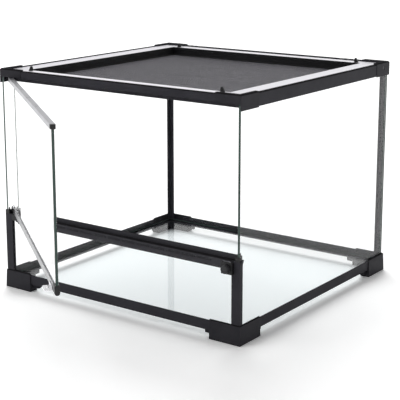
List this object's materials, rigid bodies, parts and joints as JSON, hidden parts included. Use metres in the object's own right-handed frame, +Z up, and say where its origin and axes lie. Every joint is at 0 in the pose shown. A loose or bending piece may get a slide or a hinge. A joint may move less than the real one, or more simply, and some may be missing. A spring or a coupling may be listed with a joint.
{
  "type": "glass reptile terrarium",
  "caption": "Glass reptile terrarium with black rails and feet, a hinged glass front door standing open over a slotted vent strip, a lock, and a lift-off screen lid with clamps.",
  "frame": {"origin": "middle of the tank's footprint, on the surface it stands on", "axes": "+X to the right along the front, +Y from the front to the back, +Z up"},
  "size_m": [0.606, 0.9161, 0.4779],
  "materials": {
    "clear_glass": "clear, with a green tint at the cut edges",
    "black_plastic": "fine-grained black",
    "black_trim": "smooth black",
    "silver_rail": "satin anodised",
    "lid_metal": "pale satin",
    "wire_screen": "woven wire",
    "cord": "matt black",
    "steel": "ground",
    "black_steel": "blacked",
    "bright_pull": "polished"
  },
  "bodies": {
    "cabinet": {"floor_glass": "clear_glass", "left_glass": "clear_glass", "right_glass": "clear_glass", "back_glass": "clear_glass", "front_lower_glass": "clear_glass", "foot_front_left": "black_plastic", "foot_front_right": "black_plastic", "foot_back_left": "black_plastic", "foot_back_right": "black_plastic", "bottom_rail_front": "black_plastic", "bottom_rail_back": "black_plastic", "bottom_rail_left": "black_plastic", "bottom_rail_right": "black_plastic", "top_corner_front_left": "black_plastic", "top_corner_front_right": "black_plastic", "top_corner_back_left": "black_plastic", "top_corner_back_right": "black_plastic", "top_rail_front": "black_plastic", "top_rail_back": "black_plastic", "top_rail_left": "black_plastic", "top_rail_right": "black_plastic", "back_post_left": "black_plastic", "back_post_right": "black_plastic", "front_post_left": "black_plastic", "front_post_right": "black_plastic", "vent_strip": "black_plastic", "hinge_block": "black_trim", "strip_end": "black_trim", "lock_body": "black_trim", "corner_screws": "black_steel"},
    "door": {"door_glass": "clear_glass", "door_top_rail_hinge": "silver_rail", "door_top_rail_free": "silver_rail", "door_bottom_rail": "silver_rail", "door_cap_top": "black_trim", "door_cap_bottom": "black_trim", "door_pull": "bright_pull", "door_rail_screws": "steel", "door_pin_top": "steel", "door_pin_bottom": "steel"},
    "lock_knob": {"lock_knob": "black_trim", "lock_crank": "steel"},
    "lid": {"lid_frame_front": "lid_metal", "lid_frame_back": "lid_metal", "lid_frame_left": "lid_metal", "lid_frame_right": "lid_metal", "lid_corners": "lid_metal", "lid_well_front": "black_trim", "lid_well_back": "black_trim", "lid_well_left": "black_trim", "lid_well_right": "black_trim", "lid_screen": "wire_screen", "lid_spline": "cord"},
    "lock_latch": {"lock_latch": "black_steel"},
    "clamp_front_left": {"clamp_front_left": "black_trim"},
    "clamp_front_right": {"clamp_front_right": "black_trim"},
    "clamp_back_left": {"clamp_back_left": "black_trim"},
    "clamp_back_right": {"clamp_back_right": "black_trim"},
    "inlet_slider_left": {"inlet_slider_left": "black_trim"},
    "inlet_slider_right": {"inlet_slider_right": "black_trim"}
  },
  "joints": [
    {"name": "door_swing", "type": "hinge", "parent": "cabinet", "child": "door", "pos_m": [-0.28, -0.2795, 0.3], "axis": [0, 0, 1], "range_deg": [-77, 38]},
    {"name": "lock_turn", "type": "hinge", "parent": "cabinet", "child": "lock_knob", "pos_m": [0.275, -0.2955, 0.148], "axis": [0, -1, 0], "range_deg": [0, 90]},
    {"name": "latch_lift", "type": "slide", "parent": "cabinet", "child": "lock_latch", "axis": [0, 0, 1], "range_m": [0, 0.009]},
    {"name": "lid_lift", "type": "slide", "parent": "cabinet", "child": "lid", "axis": [0, 0, 1], "range_m": [0, 0.15]},
    {"name": "clamp_front_left_turn", "type": "hinge", "parent": "lid", "child": "clamp_front_left", "pos_m": [-0.24, -0.2589, 0.46], "axis": [0, 0, 1], "range_deg": [0, 90]},
    {"name": "clamp_front_right_turn", "type": "hinge", "parent": "lid", "child": "clamp_front_right", "pos_m": [0.24, -0.2589, 0.46], "axis": [0, 0, 1], "range_deg": [-90, 0]},
    {"name": "clamp_back_left_turn", "type": "hinge", "parent": "lid", "child": "clamp_back_left", "pos_m": [-0.24, 0.2499, 0.46], "axis": [0, 0, 1], "range_deg": [-90, 0]},
    {"name": "clamp_back_right_turn", "type": "hinge", "parent": "lid", "child": "clamp_back_right", "pos_m": [0.24, 0.2499, 0.46], "axis": [0, 0, 1], "range_deg": [0, 90]},
    {"name": "inlet_slider_left_slide", "type": "slide", "parent": "cabinet", "child": "inlet_slider_left", "axis": [1, 0, 0], "range_m": [0, 0.036]},
    {"name": "inlet_slider_right_slide", "type": "slide", "parent": "cabinet", "child": "inlet_slider_right", "axis": [-1, 0, 0], "range_m": [0, 0.036]}
  ],
  "couplings": [
    {"joint": "lock_turn", "follows": "latch_lift", "rad_per_m": 174.5}
  ]
}
